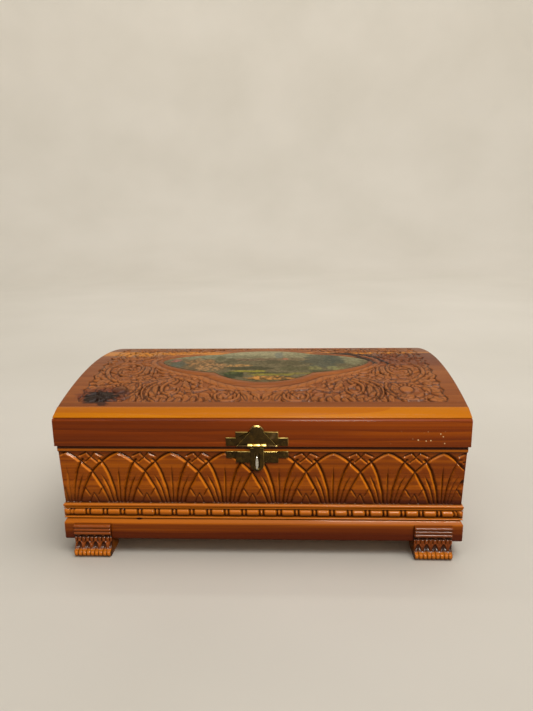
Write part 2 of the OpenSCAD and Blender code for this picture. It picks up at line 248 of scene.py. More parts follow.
def put(obj, turn, x, y, z):
    """Turns a mesh about Z and moves it, in its own points."""
    place = Matrix.Translation((x * MM, y * MM, z * MM))
    obj.data.transform(place @ Matrix.Rotation(math.radians(turn), 4, "Z"))
    return obj


def dress(obj, body, materials, node):
    """Gives a piece its materials and its body, and hides the CAD node it stands for."""
    for material in materials:
        obj.data.materials.append(material)
    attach(obj, body)
    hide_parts(node)


SHARP_EDGE = math.radians(25)      # edges sharper than this are rounded
FLAT_EDGE = math.radians(2)        # and flatter than this are joined first


def softened(node, width, segments=2, worn=False, bright=None, back=None, clamp=True):
    """A copy of a CAD node with its sharp edges rounded by a width.

    worn: rounded edges that look up or to the right, towards the lamps, take material 1, a painted highlight.
    bright: (y, z, r, x, half) gives it to faces within r of that line along X, up to half from x,
    on the line's upper side, as a painted highlight on a barrel's top. back: only outward edges in front of
    this y are rounded.
    """
    bm = bmesh.new()
    bm.from_mesh(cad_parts[node].data)
    bmesh.ops.remove_doubles(bm, verts=bm.verts, dist=1e-6)
    bmesh.ops.dissolve_limit(bm, angle_limit=FLAT_EDGE, verts=bm.verts, edges=bm.edges)
    sharp = [e for e in bm.edges if len(e.link_faces) == 2 and e.calc_face_angle(0) > SHARP_EDGE]
    if back is not None:
        sharp = [e for e in sharp if e.is_convex and max(v.co.y for v in e.verts) / MM < back - 0.3]
    for face in bm.faces:
        face.material_index = 0
    bmesh.ops.bevel(bm, geom=sharp, offset=width * MM, segments=segments, profile=0.5,
                    affect="EDGES", clamp_overlap=clamp, material=1)
    bmesh.ops.triangulate(bm, faces=[f for f in bm.faces if len(f.verts) > 4])
    for face in bm.faces:
        # faces that look up or to the right, towards the lamps, keep the painted highlight
        up = face.normal.z > 0.35 or face.normal.x > 0.5
        face.material_index = 1 if worn and up and face.material_index == 1 else 0
        if bright:
            y, z, r, x, half = bright
            near = max(math.hypot(v.co.y / MM - y, v.co.z / MM - z) for v in face.verts) < r
            beside = max(abs(v.co.x / MM - x) for v in face.verts) < half
            if near and beside and face.calc_center_median().z / MM > z - 0.1:
                face.material_index = 1
    mesh = bpy.data.meshes.new(node + "_piece")
    bm.to_mesh(mesh)
    bm.free()
    return shaded(node + "_piece", mesh, 35)


def rounded(node, width, body, slot, *materials, inside=None, **options):
    """Rounds and dresses a CAD node; inside (axis, sign) gives material 1 to faces that look that way."""
    obj = softened(node, width, **options)
    if inside:
        axis, sign = inside
        for face in obj.data.polygons:
            if face.normal[axis] * sign > 0.7:
                face.material_index = 1
    dress(obj, body, materials, node)


# ---------------- materials

class Shader:
    """A material and short ways to add and join its nodes."""

    def __init__(self, name):
        self.material = bpy.data.materials.new(name)
        self.material.use_nodes = True
        self.tree = self.material.node_tree
        self.tree.nodes.clear()
        output = self.tree.nodes.new("ShaderNodeOutputMaterial")
        self.bsdf = self.tree.nodes.new("ShaderNodeBsdfPrincipled")
        self.tree.links.new(self.bsdf.outputs[0], output.inputs[0])
        self.place = self.tree.nodes.new("ShaderNodeTexCoord").outputs["Object"]

    def set(self, socket, value):
        """Links a socket to another one, or gives it a plain value."""
        if isinstance(value, bpy.types.NodeSocket):
            self.tree.links.new(value, socket)
        elif isinstance(value, tuple) and socket.type == "RGBA":
            socket.default_value = (*value, 1.0)
        else:
            socket.default_value = value

    def add(self, kind, settings=None, **inputs):
        """A new node with its settings, and its inputs by name."""
        node = self.tree.nodes.new("ShaderNode" + kind)
        for key, value in (settings or {}).items():
            setattr(node, key, value)
        for key, value in inputs.items():
            self.set(node.inputs[key.replace("_", " ")], value)
        return node

    def math(self, operation, a, b=0.0):
        node = self.add("Math", {"operation": operation})
        self.set(node.inputs[0], a)
        self.set(node.inputs[1], b)
        return node.outputs[0]

    def times(self, a, b):
        return self.math("MULTIPLY", a, b)

    def total(self, first, *others):
        """The sum of a few values."""
        for other in others:
            first = self.math("ADD", first, other)
        return first

    def sway(self, noise, amount):
        """Noise moved to lie on both sides of zero, times an amount."""
        return self.times(self.math("SUBTRACT", noise, 0.5), amount)

    def mix(self, factor, a, b, blend="MIX"):
        node = self.add("Mix", {"data_type": "RGBA", "blend_type": blend}, Factor=factor)
        self.set(node.inputs[6], a)         # 6, 7 and output 2 are its colour sockets
        self.set(node.inputs[7], b)
        return node.outputs[2]

    def tint(self, colour, mask, amount, *shade):
        """Pulls a colour towards a display shade where a mask is 1."""
        return self.mix(self.times(mask, amount), colour, linear(*shade))

    def ramp(self, factor, *stops):
        """A blend between colours, or between grey levels."""
        node = self.add("ValToRGB", Fac=factor)
        ramp = node.color_ramp
        while len(ramp.elements) < len(stops):
            ramp.elements.new(0.5)
        for element, (position, colour) in zip(ramp.elements, stops):
            element.position = position
            element.color = (*colour, 1.0) if isinstance(colour, tuple) else (colour, colour, colour, 1.0)
        return node.outputs[0]

    def span(self, value, low, high, to_low=0.0, to_high=1.0):
        """A smooth step from to_low at low to to_high at high."""
        node = self.add("MapRange", {"interpolation_type": "SMOOTHSTEP"})
        for socket, number in zip(node.inputs[:5], (value, low, high, to_low, to_high)):
            self.set(socket, number)
        return node.outputs[0]

    def axis(self, name):
        """A coordinate in millimetres."""
        return self.times(self.add("SeparateXYZ", Vector=self.place).outputs[name], 1 / MM)

    def stretched(self, scale, shift=(0, 0, 0)):
        """Points times a scale per metre along each axis, then moved by a shift."""
        node = self.add("Mapping", Vector=self.place)
        node.inputs["Scale"].default_value = scale
        node.inputs["Location"].default_value = shift
        return node.outputs[0]

    def reach(self, middle, half):
        """Distance from a middle in half sizes; an axis whose half size is 0 doesn't count."""
        scale = [1 / size if size else 0 for size in half]
        node = self.add("VectorMath", {"operation": "LENGTH"})
        shift = [-place * k for place, k in zip(middle, scale)]
        self.set(node.inputs[0], self.stretched([k / MM for k in scale], shift))
        return node.outputs["Value"]

    def noise(self, vector, scale, detail, roughness, distortion=0.0):
        return self.add("TexNoise", Vector=vector, Scale=scale, Detail=detail, Roughness=roughness,
                        Distortion=distortion).outputs[0]

    def attribute(self, name, output="Fac"):
        return self.add("Attribute", {"attribute_name": name}).outputs[output]

    def bump(self, height, strength, distance):
        return self.add("Bump", Height=height, Strength=strength, Distance=distance * MM).outputs[0]

    def finish(self, **inputs):
        for key, value in inputs.items():
            self.set(self.bsdf.inputs[key.replace("_", " ")], value)
        return self.material


def linear(r, g, b):
    """A colour given as 0-255 display values, as linear light."""
    return tuple(((c / 255 + 0.055) / 1.055) ** 2.4 if c > 10 else c / 255 / 12.92 for c in (r, g, b))


def shades(*colours):
    return [linear(*colour) for colour in colours]


# dark, middle and light tone of each wood
RED = shades((48, 13, 1), (84, 32, 1), (111, 52, 1))
ORANGE = shades((40, 10, 1), (81, 33, 1), (110, 54, 2))
SAP = shades((99, 47, 0), (116, 62, 1), (127, 74, 1))
TOP = shades((56, 22, 6), (79, 39, 13), (100, 56, 24))
FOOT = shades((30, 9, 1), (68, 28, 4), (98, 46, 9))
RAW = shades((120, 70, 38), (150, 96, 58), (174, 122, 80))
# lighter colours painted on as highlights where a carved piece faces the lamps
ORANGE_HIGHLIGHT = linear(160, 90, 12)
TOP_HIGHLIGHT = linear(124, 75, 34)


def wood_grain(s, grain, pith, rings, seed, contrast, streak, line):
    """Tone of cedar (0 light, 1 dark), its short fibres and its long streaks."""

    def grained(length_scale, across, run, side=(0, 0)):
        """Points scaled along and across the grain, and moved along it by run."""
        scale, shift = [length_scale, across, across], [run, *side]
        if grain == "Y":
            scale[:2], shift[:2] = scale[1::-1], shift[1::-1]
        return s.stretched(scale, shift)

    squeezed = grained(0.16, 1.0, seed, pith)
    ring = s.add("TexWave", {"wave_type": "RINGS", "rings_direction": grain, "wave_profile": "SAW"},
                 Vector=squeezed, Scale=rings, Distortion=5.5, Detail=2.5, Detail_Scale=0.55,
                 Detail_Roughness=0.55).outputs["Fac"]
    wander = s.noise(squeezed, 9.0, 2.0, 0.5)
    fibre = s.noise(grained(3.0, 240.0, seed), 1.0, 4.0, 0.6)
    streaks = s.noise(grained(1.2, 60.0, seed * 2), 1.0, 3.0, 0.55, 0.4)
    drift = s.noise(grained(4.0, 26.0, seed * 3), 1.0, 2.0, 0.5)
    lines = s.noise(grained(2.2, 420.0, seed * 5), 1.0, 2.0, 0.6, 0.3)
    tone = s.total(s.times(ring, 0.45 * contrast), s.times(streaks, streak), s.times(drift, 0.5),
                   s.sway(wander, 0.35), s.sway(lines, line), -0.18 - 0.1 * contrast)
    return tone, fibre, streaks


def cedar(name, tones, seed, grain="X", pith=(0.03, -0.02), rings=55.0, contrast=1.0, streak=0.35,
          line=0.3, coat=0.12, coat_rough=0.1, rough=0.4, worn=None, figure=None):
    """Lacquered red cedar: growth rings about a pith line, long fibre streaks and soft colour drift.

    contrast, streak and line: strength of the rings, the streaks and the finest lines. worn:
    colour of the painted highlight on a carved piece, which also turns on its painted shade. figure: a
    function that adds one piece's own marks.
    """
    s = Shader(name)
    tone, fibre, streaks = wood_grain(s, grain, pith, rings, seed, contrast, streak, line)
    dark, middle, light = tones
    colour = s.ramp(tone, (0.05, light), (0.42, middle), (0.9, dark))
    colour = s.mix(s.span(fibre, 0.52, 0.75, 0.0, 0.28), colour, dark)
    if worn:
        # painted highlight: lighter where the piece's own mark says it faces the lamps
        colour = s.mix(s.times(s.attribute("worn"), 0.8), colour, worn)
    if figure:
        colour = figure(s, colour)
    if worn:
        # painted shade: cuts, gaps and flanks that face away from the lamps turn towards a near-black tone of
        # the wood
        painted_shade_colour = tuple(c * 0.12 for c in dark)
        colour = s.mix(s.times(s.attribute("groove"), 0.92), colour, painted_shade_colour)
    gloss = s.total(s.times(streaks, 0.16), rough - 0.06)
    dimple = s.noise(s.place, 40.0, 2.0, 0.5)
    height = s.total(s.times(fibre, 0.6), s.times(dimple, 1.2))
    return s.finish(Base_Color=colour, Roughness=gloss, Coat_Weight=coat, Coat_Roughness=coat_rough,
                    Specular_IOR_Level=0.06, Normal=s.bump(height, 0.3, 0.08))


def knot_mask(s, middle, half, ragged):
    """1 inside a ragged ellipse on the lid."""
    wobble = s.noise(s.stretched((70, 110, 70)), 1.0, 3.0, 0.6)
    return s.span(s.total(s.reach(middle, half), s.sway(wobble, ragged)), 1.08, 0.82)


def streak_mask(s, middle, half, wobble, soft=3.0):
    """1 in a long streak along X, up to half from its middle y."""
    wave = s.noise(s.stretched((9, 40, 40), (4, 0, 0)), 1.0, 3.0, 0.5)
    y = s.total(s.axis("Y"), s.sway(wave, wobble), -middle)
    return s.span(s.math("ABSOLUTE", y), half + soft, half - soft)


def lid_figure(s, colour):
    """The lid panel's sapwood streaks, dark heart streaks, black knot and darker front margin."""
    x = s.axis("X")
    wide = s.times(streak_mask(s, 30, 11, 10), s.span(x, -85, -105))
    narrow = s.times(streak_mask(s, 33, 7, 6), s.span(x, -30, -45))
    thin = s.times(streak_mask(s, 34, 2.2, 3, 1.5), s.span(x, 30, 42))
    sap = s.math("MAXIMUM", s.math("MAXIMUM", wide, narrow), thin)
    colour = s.tint(colour, sap, 0.85, 142, 90, 32)
    red = s.times(streak_mask(s, 8, 22, 12, 8), s.span(x, 70, 100))
    colour = s.tint(colour, red, 0.55, 62, 26, 16)
    colour = s.tint(colour, s.attribute("heart"), 0.95, 24, 14, 7)
    colour = s.tint(colour, knot_mask(s, (-118, -75, 0), (21, 13, 0), 1.0), 0.65, 58, 20, 14)
    second = s.times(knot_mask(s, (-106, -68, 0), (7, 6, 0), 1.0), 0.55)
    knot = s.math("MAXIMUM", knot_mask(s, (-118, -77, 0), (12.5, 11.5, 0), 2.8), second)
    colour = s.tint(colour, knot, 0.93, 17, 13, 8)
    return s.tint(colour, s.span(s.axis("Y"), -84.5, -86.5), 0.35, 56, 22, 6)


def rail_figure(s, colour):
    """A few pale flecks of old paint on the front rail, low down towards its right end."""
    x = s.axis("X")
    flecks = s.span(s.add("TexVoronoi", Vector=s.place, Scale=280.0).outputs["Distance"], 0.17, 0.10)
    where = s.times(s.span(x, 88, 98), s.span(x, 134, 126))
    where = s.times(where, s.times(s.span(s.axis("Z"), 96.5, 94.5), s.span(s.axis("Y"), 0, -50)))
    return s.tint(colour, s.times(where, flecks), 0.8, 176, 150, 108)


def front_figure(s, colour):
    """The front board: a deeper red base, darker beads, painted shade along the foot and the top of the
    carved field, and a knot hole painted as a dark spot for its shade.
    """
    z = s.axis("Z")
    level = s.total(z, s.sway(s.noise(s.stretched((6, 1, 50)), 1.0, 2.0, 0.5), 6.0))
    colour = s.tint(colour, s.span(level, 18, 16), 0.8, 42, 7, 1)
    colour = s.tint(colour, s.span(z, 24.2, 23.2), 0.45, 58, 16, 1)
    row = s.times(s.span(z, 26.8, 27.4), s.span(z, 39.5, 38.5))
    colour = s.tint(colour, row, 0.35, 62, 18, 1)
    # painted shade along the foot of the carved field
    low_field_shade = s.times(s.span(level, 53, 40), s.span(z, 39.0, 39.6))
    colour = s.tint(colour, low_field_shade, 0.85, 40, 9, 1)
    # painted shade along the top of the carved field, under the top fillet
    from_top = s.math("ABSOLUTE", s.total(level, -79.5))
    colour = s.tint(colour, s.span(from_top, 6, 1), 0.5, 46, 12, 1)
    # painted shade: the knot hole is a dark spot, with no cut in the board
    hole = s.reach((-89.2, 0, 27.4), (2.6, 0, 1.1))
    return s.tint(colour, s.span(hole, 1.2, 0.8), 1.0, 18, 9, 7)


def metal(name, mottling, detail, gloss, relief, stops, metallic=1.0, pits=None):
    """A metal whose mottling (scale per metre) sets its colour, gloss and, without pits, its bumps."""
    s = Shader(name)
    mottle = s.noise(s.stretched(mottling), 1.0, detail, 0.6)
    colour = s.ramp(mottle, *((place, linear(*shade)) for place, shade in stops))
    bumps = s.noise(s.place, pits, 3.0, 0.6) if pits else mottle
    return s.finish(Base_Color=colour, Metallic=metallic, Roughness=s.span(mottle, *gloss),
                    Normal=s.bump(bumps, *relief))


def mirror_glass():
    s = Shader("mirror_glass")
    haze = s.noise(s.place, 30.0, 3.0, 0.5)
    colour = s.ramp(haze, (0.3, linear(214, 220, 218)), (0.7, linear(232, 236, 234)))
    return s.finish(Base_Color=colour, Metallic=1.0, Roughness=s.span(haze, 0.4, 0.8, 0.02, 0.06))


def painted_print():
    s = Shader("painted_print")
    weave = s.noise(s.place, 1500.0, 2.0, 0.5)
    threads = s.ramp(weave, (0.3, 0.75), (0.7, 1.25))
    colour = s.mix(0.6, s.attribute("paint", "Color"), threads, "MULTIPLY")
    return s.finish(Base_Color=colour, Roughness=0.5, Coat_Weight=0.08, Coat_Roughness=0.12,
                    Specular_IOR_Level=0.0, Normal=s.bump(weave, 0.15, 0.05))


def pale_floor():
    s = Shader("pale_floor")
    mottle = s.noise(s.place, 3.0, 3.0, 0.5)
    colour = s.ramp(mottle, (0.3, linear(214, 208, 196)), (0.7, linear(222, 216, 205)))
    return s.finish(Base_Color=colour, Roughness=0.75)


# ---------------- carved side boards

ARCADE_PITCH = 38.41
ARCADE_START = 13.1       # a centre line of the front's carving
BEAD_PITCH = 12.7
BEAD_START = 0.2
BOARD_STEP = 0.46         # between the columns of points along a board
FIELD_H = FIELD_TOP - FIELD_Z

# Grooves of one arch, beside its centre line, in pitches across and field heights up. Each has its
# half width and depth in mm and says if its end fades out.
ARCADE_GROOVES = [
    ([(0, -0.05), (0, 0.4), (0, 0.78)], 0.9, 0.9, True),
    ([(0.06, -0.05), (0.092, 0.22), (0.138, 0.41), (0.202, 0.61), (0.276, 0.76), (0.34, 0.84)],
     1.5, 1.35, False),
    ([(0.125, -0.05), (0.165, 0.14), (0.215, 0.31), (0.276, 0.45), (0.35, 0.60)], 1.1, 1.0, True),
    ([(0, 0.985), (0.11, 0.935), (0.22, 0.867), (0.30, 0.80), (0.386, 0.72), (0.487, 0.62), (0.561, 0.50),
      (0.662, 0.315), (0.735, 0.15), (0.80, -0.05)], 1.45, 1.3, False),
    ([(0.605, 1.02), (0.505, 0.90), (0.39, 0.80)], 0.95, 0.8, False),
    ([(0.41, 0.975), (0.33, 0.935), (0.25, 0.90)], 1.0, 0.85, True),
    ([(0.60, 0.975), (0.68, 0.935), (0.76, 0.90)], 0.9, 0.7, True),
    ([(0.335, 0.29), (0.39, 0.20), (0.445, 0.11)], 1.0, 0.85, True),
    ([(0.50, 0.19), (0.545, 0.11), (0.60, -0.04)], 0.95, 0.8, False),
]


def arcade(x, z, start):
    """Depth of the arched carving at x along a board and z above its lower edge, and a mask of painted shade
    along its cuts.
    """
    x = x + 0.25 * (value_noise(x / 3.0, z / 3.0, 11) - 0.5)
    u = (x - start) / ARCADE_PITCH
    u = np.abs(u - np.round(u))
    depth, mask, swell = np.zeros_like(x), np.zeros_like(x), np.zeros_like(x)
    for points, half, cut, fade in ARCADE_GROOVES:
        path = through(points, 4) * (ARCADE_PITCH, FIELD_H)
        for across in (u, 1 - u):
            d, s, _, length = along(across * ARCADE_PITCH, z - FIELD_Z, path)
            size = np.clip((length - s) / (0.3 * length), 0.15, 1) if fade else 1.0
            size = size * (0.72 + 0.28 * smooth(0.0, 0.45, (z - FIELD_Z) / FIELD_H))
            near = ridge(d, half * size)
            depth = np.maximum(depth, 1.2 * cut * size * near)
            swell = np.maximum(swell, 0.22 * cut * size * np.exp(-d / (1.6 * half)))
            mask = np.maximum(mask, smooth(0.5, 0.85, near) * size)
    inside = between(z, FIELD_Z, FIELD_Z + 0.6, FIELD_TOP - 0.7, FIELD_TOP)
    return (depth + swell) * inside, mask * inside


def beads(x, z, start):
    """Depth of the bead-and-reel row behind the board's face, and a mask of painted shade in the gaps between
    beads.
    """
    long_half, reel_half = 4.6, 1.05
    from_reel = np.abs((x - start + BEAD_PITCH / 2) % BEAD_PITCH - BEAD_PITCH / 2)
    from_long = BEAD_PITCH / 2 - from_reel
    end = unit((from_long - (long_half - 1.3)) / 1.3)
    radius = BEAD_R * np.maximum(dome(end) ** 0.6, 0.92 * dome(from_reel / reel_half) ** 0.6)
    bulge = np.sqrt(np.clip(radius ** 2 - (z - BEAD_Z) ** 2, 0, None))
    depth = np.minimum(BEAD_R + BEAD_FRONT - bulge, GROOVE_D)
    return depth, 0.8 * smooth(0.85, 1.0, depth / GROOVE_D) * (np.abs(z - BEAD_Z) < BEAD_R + 0.6)


# the moulding's plain parts: heights over a base line, each with its depth behind the face
MOULDING = [
    (0, [(0, EDGE_ROUND), (0.2, 0.75), (0.5, 0.38), (0.9, 0.1), (EDGE_ROUND, 0)]),
    (PLINTH_H, [(-CHAMFER_H, 0), (-0.3, 1.4), (0, GROOVE_D), (0.6, GROOVE_D), (0.8, 0.7), (1.0, 0.4),
                (1.5, 0.4), (1.8, 0.7), (2.1, GROOVE_D)]),
    (FIELD_Z, [(-4.3, GROOVE_D), (-4.0, 0.9), (-3.6, 0.5), (-3.1, 0.5), (-2.8, 1.8), (-2.5, 0.6), (-2.1, 0.3),
               (-1.0, 0.3), (-0.4, 0.8), (0, 1.8)]),
    (FIELD_TOP, [(0, 0.5), (0.5, 0.05), (0.9, 0)]),
    (BODY_H, [(-0.6, 0), (-0.15, 0.2), (0, 0.6)]),
]


def plain_depth(z):
    """Depth of the moulding's plain parts, for heights above the board's lower edge."""
    heights, depths = zip(*((base + up, depth) for base, steps in MOULDING for up, depth in steps))
    return np.interp(z, heights, depths)


def board_levels():
    """Heights at which a moulded board is sampled: close together where it is carved."""
    parts = [np.array([0, 0.2, 0.5, 0.9]), np.linspace(EDGE_ROUND, PLINTH_H - CHAMFER_H, 6),
             np.arange(PLINTH_H - CHAMFER_H + 0.4, FIELD_Z, 0.34), np.arange(FIELD_Z, FIELD_TOP, 0.47),
             np.arange(FIELD_TOP, BODY_H - 0.3, 0.4), np.array([BODY_H - 0.15, BODY_H])]
    return np.unique(np.concatenate(parts).round(3))


def board_marks(depth, mask, bead_groove, row, z, slope_x, slope_z):
    """Masks of painted shade and painted highlight for a board, from its depth, its slopes and its carving's
    own masks.
    """
    # tilt: how far a face looks up and to the right, towards the lamps
    tilt = 0.45 * slope_x + 0.9 * slope_z
    flat_groove = smooth(0.8, 1.0, depth / GROOVE_D) * (z > PLINTH_H - 0.5) * (z < FIELD_Z - 0.5)
    # painted shade: gaps between the beads, the arcade's cuts, the deep plain channels between plinth and
    # field, a line along the field's foot, the lid's shadow along the top edge, and flanks that face down or
    # left
    groove = np.maximum.reduce([bead_groove * row, 0.75 * mask, 0.85 * flat_groove * ~row,
                                0.5 * smooth(0.9, 0.5, np.abs(z - FIELD_Z - 0.3)),
                                0.95 * smooth(BODY_H - 2.1, BODY_H - 1.5, z)])
    groove = groove + 0.7 * unit(-tilt) * (z > PLINTH_H)
    # painted highlight: flanks that face up or right, the raised fillets, bead crests and ridges, a line
    # along the top fillet, and a little on the chamfer
    raised = (z > PLINTH_H + 0.6) & (z < FIELD_Z - 0.5) & (depth < 1.2)
    worn = 0.9 * smooth(0.1, 0.9, tilt) + 0.55 * raised + 0.9 * (np.abs(z - BODY_H + 3.0) < 0.8)
    chamfer = (z > PLINTH_H - CHAMFER_H - 0.2) & (z < PLINTH_H + 0.2)
    return unit(groove), unit(np.where(chamfer, 0.35, worn))


def moulded_board(name, length, start, bead_start):
    """A mitred board with its carved face towards -Y at y = 0, centred on x = 0."""
    columns = np.linspace(-length / 2, length / 2, int(length / BOARD_STEP) + 1)
    levels = board_levels()
    x, z = np.meshgrid(columns, levels, indexing="ij")
    row = np.abs(z - BEAD_Z) < BEAD_R + 0.1
    bead_depth, bead_groove = beads(x, z, bead_start)
    carve, mask = arcade(x, z, start)
    away = smooth(0.0, 1.2, length / 2 - np.abs(x))     # the carving stops just before the corners
    plain = plain_depth(z)
    depth = (np.where(row, bead_depth, plain) + carve) * away + np.where(row, 0.6, plain) * (1 - away)
    slopes = np.gradient(depth, columns, levels)
    groove, worn = board_marks(depth, mask, bead_groove, row, z, *slopes)
    depth = closed(depth, WALL, WALL, WALL - RABBET, WALL - RABBET)
    z = closed(z, BODY_H, RABBET, RABBET, 0)
    x = columns[:, None]
    mitre = smooth(length / 2 - 1.6 * WALL, length / 2, np.abs(x))
    x = x - np.sign(x) * depth * mitre
    return raw_beyond(loft(name, x, depth, z, 50, groove=groove, worn=worn), len(levels), z.shape)


# ---------------- carved lid

LID_STEP = 0.6            # between the columns of points across the lid
CARVE_HALF_X = 135.5
CARVE_HALF_Y = 82.8
GROUND = -0.95            # the cut-down ground between the leaves, over the smooth arch
STEM_TOP = 0.15           # and the crown of a stem
FLOWER = (107.5, 63.0)
ROPE_PITCH = 7.5
SCALLOP_PITCH = 13.0


def outline(p, shape):
    """How far a border reaches from the picture's middle, p to either side of it: a disc with two wings."""
    radius, half, wing = shape
    lens = wing * np.clip(1 - (p / half) ** 2, 0, None) ** 0.58
    return np.maximum(lens, radius * dome(p / radius))


def outline_points(shape):
    """A quarter of a border around the picture, from its front middle out to its wing tip."""
    p = shape[1] * np.sin(np.linspace(0, math.pi / 2, 60))
    return np.stack([p, outline(p, shape)], 1)


class Relief:
    """A height map over one quarter of the lid, carved and built up by strokes, with a mask of painted shade
    along its cuts.
    """

    def __init__(self, p, q):
        self.p, self.q = p, q
        self.height = np.full_like(p, GROUND)
        self.groove = np.zeros_like(p)

    def near(self, points, reach):
        """The part of the map within a box around some points."""
        low, high = np.min(points, 0) - reach, np.max(points, 0) + reach
        return (self.p > low[0]) & (self.p < high[0]) & (self.q > low[1]) & (self.q < high[1])

    def stroke(self, path, reach):
        """The part of the map near a path, then what along() gives for its points."""
        where = self.near(path, reach)
        return where, *along(self.p[where], self.q[where], path)

    def raise_to(self, where, height):
        self.height[where] = np.maximum(self.height[where], height)

    def cut(self, where, depth, mask):
        """Sinks a part of the map, and marks it for painted shade, a dark line."""
        self.height[where] -= depth
        self.groove[where] = np.maximum(self.groove[where], mask)

    def stem(self, points, start, end):
        """A round stem that tapers from a start to an end half width, with a dark line of painted shade on
        each side.
        """
        where, d, s, _, length = self.stroke(through(points), 2 * max(start, end) + 2)
        half = start + (end - start) * s / length
        self.raise_to(where, GROUND + (STEM_TOP - GROUND) * dome(d / half) - 10 * (d > half))
        line = ridge(d - half, 0.75)
        self.cut(where, 0.6 * line, line)

    def petal(self, points, width, top=0.1):
        """A plump leaflet along a curve: one edge sinks under a dark line of painted shade, the other stays
        faint.
        """
        where, d, s, side, length = self.stroke(through(points, 6), width + 2)
        half = width * np.sin(math.pi * unit(s / length) ** 0.8) ** 0.6 + 1e-3
        height = GROUND + (top - GROUND) * dome(d / half) - 0.2 * side * unit(d / half)
        self.raise_to(where, height - 10 * (d > half))
        line = ridge(d - half, 0.8) * (0.62 + 0.38 * side)
        vein = 0.5 * ridge(d, 0.6) * (width > 2.4) * (s < 0.8 * length)
        self.cut(where, 0.75 * line + 0.4 * vein, np.maximum(line, vein))

    def flower(self, p, q, radius, rays):
        """A smooth dome with a fan of narrow rays about its back and sides."""
        where = self.near(np.array([(p, q)]), radius + 2)
        dx, dy = self.p[where] - p, self.q[where] - q
        r, a = np.hypot(dx, dy) / radius, np.arctan2(dy, dx)
        ray = np.abs(np.cos(rays * a / 2))
        height = np.where(r < 0.5, GROUND + (0.45 - GROUND) * dome(r / 0.5), -0.15 - 0.3 * (1 - ray))
        fan = (r < 0.85 + 0.15 * ray) & (dy < 0.3 * radius)
        self.raise_to(where, np.where((r < 0.5) | fan, height, GROUND))
        # painted shade along the dome's edge and in the slots between its rays
        edge = ridge(r - 0.52, 0.08)
        slot = unit(1.25 - ray * 1.7) * (r > 0.58) * fan
        self.cut(where, 0.5 * edge + 0.8 * slot, np.maximum(edge, slot))


# stems and spirals of one quarter of the lid: points, start and end half widths
STEMS = [
    ([(50, 54), (57, 47), (66, 42), (74, 41), (84, 46), (94, 49), (105, 50), (114, 48), (121, 41), (126, 30),
      (126, 18), (120, 8), (110, 7), (102, 12), (99, 22), (101, 32), (108, 37), (115, 33), (116, 25),
      (111, 20), (107, 25)], 2.4, 1.4),
    ([(70, 44), (78, 50), (84, 58), (86, 67), (84, 76), (78, 82)], 1.9, 1.3),
    ([(75, 44), (84, 50), (89, 58), (90, 68), (87, 77)], 1.3, 1.0),
    ([(69, 47), (74, 53), (76, 60), (74, 68), (68, 71), (63, 66), (64, 60), (69, 60)], 1.7, 1.2),
    ([(58, 66), (50, 66), (42, 63), (32, 62), (23, 64), (17, 70), (18, 78), (26, 81), (33, 78), (34, 71),
      (28, 68), (24, 72), (27, 75)], 1.8, 1.3),
    ([(94, 52), (93, 60), (95, 68), (99, 75), (108, 79), (117, 78)], 1.5, 1.2),
]

# single leaves: three points and a half width
LEAVES = [
    (119, 45, 124, 50, 127, 57, 4.6), (120, 59, 127, 65, 130, 73, 5.0),
    (121, 75, 127, 79, 132, 82, 4.4), (130, 44, 132, 35, 131, 27, 3.2),
    (131, 25, 133, 16, 130, 9, 3.2), (128, 7, 132, 2, 131, -3, 3.0),
    (91, 8, 93, 20, 89, 32, 3.2), (97, 14, 95, 26, 97, 38, 3.0),
    (88, 34, 94, 40, 104, 44, 2.8), (112, 12, 117, 18, 119, 28, 2.8),
    (80, 55, 81, 64, 79, 74, 2.8), (60, 48, 58, 56, 54, 63, 3.0),
    (99, 55, 98, 63, 101, 71, 2.6), (112, 73, 106, 72, 101, 76, 2.6),
    (4, 80, 3, 73, 8, 69, 3.0), (-4, 80, -3, 73, -8, 69, 3.0),
    (10, 80, 11, 73, 16, 68, 2.6),
]


def leaflets(art):
    """Fills the ground between the stems with curved leaves that lean away from the nearest stem."""
    rng = np.random.default_rng(19)
    paths = [through(points, 4) for points, _, _ in STEMS]
    joints = np.vstack([path[:-1] for path in paths])
    steps = np.vstack([np.diff(path, axis=0) for path in paths])
    kept = []
    for _ in range(5200):
        spot = rng.uniform((1, 2), (132, 80))
        if kept and np.min(np.hypot(*(np.array(kept) - spot).T)) < 5.4:
            continue
        if spot[1] < outline(spot[0], ROPE) or math.dist(spot, FLOWER) < 10:
            continue
        reach = np.hypot(*(joints - spot).T)
        k = int(np.argmin(reach))
        if reach[k] < 1.6:
            continue
        kept.append(spot)
        dx, dy = steps[k] / np.hypot(*steps[k])
        side = np.sign(dx * (spot[1] - joints[k][1]) - dy * (spot[0] - joints[k][0])) or 1.0
        turn = math.atan2(dy, dx) + side * rng.uniform(0.35, 1.1)
        axis = np.array([math.cos(turn), math.sin(turn)])
        half, bend = rng.uniform(3.2, 5.0), -side * rng.uniform(0.6, 1.6)
        bow = bend * np.array([-axis[1], axis[0]])
        art.petal([spot - axis * half, spot + bow, spot + axis * half], rng.uniform(1.8, 2.6),
                  rng.uniform(-0.2, 0.1))


def heart_lines(x, y):
    """Two dark heartwood streaks that hug the picture's frame at its back right, from 0 to 1."""
    total = np.zeros_like(x)
    for points, half in (([(54, 30), (68, 27), (78, 18), (86, 5), (92, -9)], 4.2),
                         ([(66, 33), (82, 27), (92, 15), (98, 2), (103, -12)], 2.8)):
        d, s, _, length = along(x, y, through(points, 4))
        half = half * (1 - 0.6 * s / length) * (0.6 + 0.8 * value_noise(x / 5, y / 5, 83))
        total = np.maximum(total, smooth(1.5 * half + 0.3, 0.5 * half, d))
    return total


